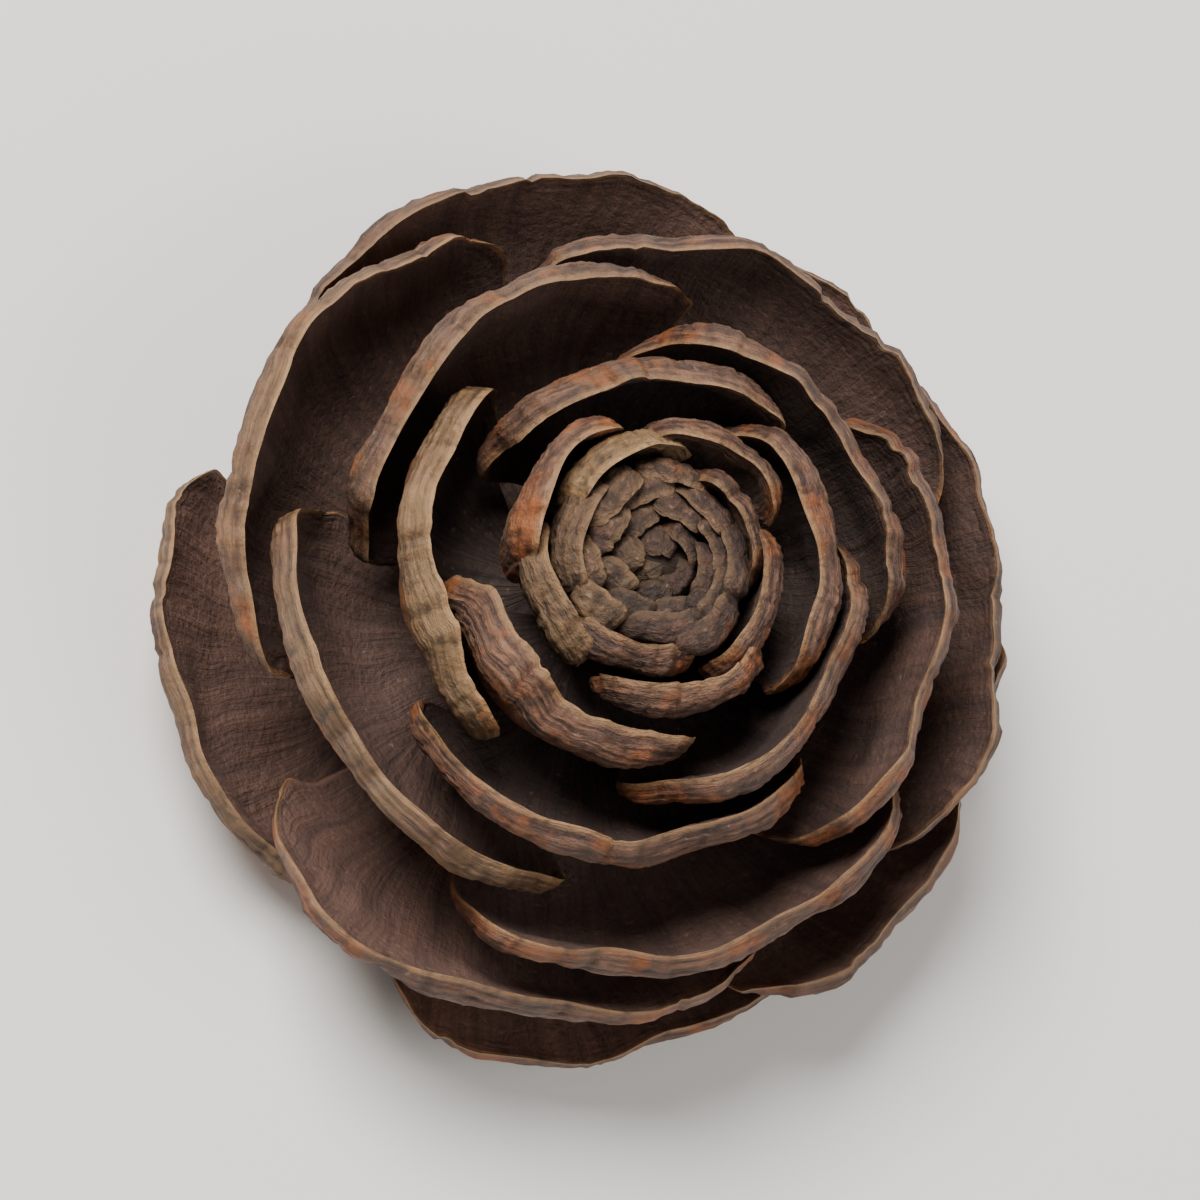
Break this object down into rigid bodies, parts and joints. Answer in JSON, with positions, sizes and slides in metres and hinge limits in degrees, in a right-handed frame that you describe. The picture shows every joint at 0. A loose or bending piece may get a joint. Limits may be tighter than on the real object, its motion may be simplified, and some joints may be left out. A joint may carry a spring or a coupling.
{
  "type": "cedar rose cone",
  "caption": "Cedar rose: the tip of a ripe cedar cone, its woody fan-shaped scales open in a spiral round a closed bud like rose petals; for craft, wreaths and decoration.",
  "frame": {"origin": "on the table, under the middle of the rose's outline as seen from above", "axes": "+Z up along the cone's axis, out of the bud; +X to the right and +Y up in a view straight down on the bud, the way the pictured rose faces the camera"},
  "size_m": [0.0386, 0.0402, 0.0217],
  "materials": {
    "bud_wood": "matt, weathered grey-brown",
    "upright_scale_wood": "matt, dark umber with a greyish tan rim",
    "open_scale_wood": "matt, reddish brown with a tan rim",
    "spread_scale_wood": "satin, russet with a fibrous orange-tan underside"
  },
  "bodies": {
    "root": {"bud_on_axis": "bud_wood", "scale_01": "upright_scale_wood", "scale_02": "upright_scale_wood", "scale_03": "upright_scale_wood", "scale_04": "upright_scale_wood", "scale_05": "upright_scale_wood", "scale_06": "upright_scale_wood", "scale_07": "upright_scale_wood", "scale_08": "open_scale_wood", "scale_09": "open_scale_wood", "scale_10": "open_scale_wood", "scale_11": "open_scale_wood", "scale_12": "open_scale_wood", "scale_13": "open_scale_wood", "scale_14": "open_scale_wood", "scale_15": "spread_scale_wood", "scale_16": "spread_scale_wood", "scale_17": "spread_scale_wood", "scale_18": "spread_scale_wood", "scale_19": "spread_scale_wood", "scale_20": "spread_scale_wood"}
  },
  "joints": []
}
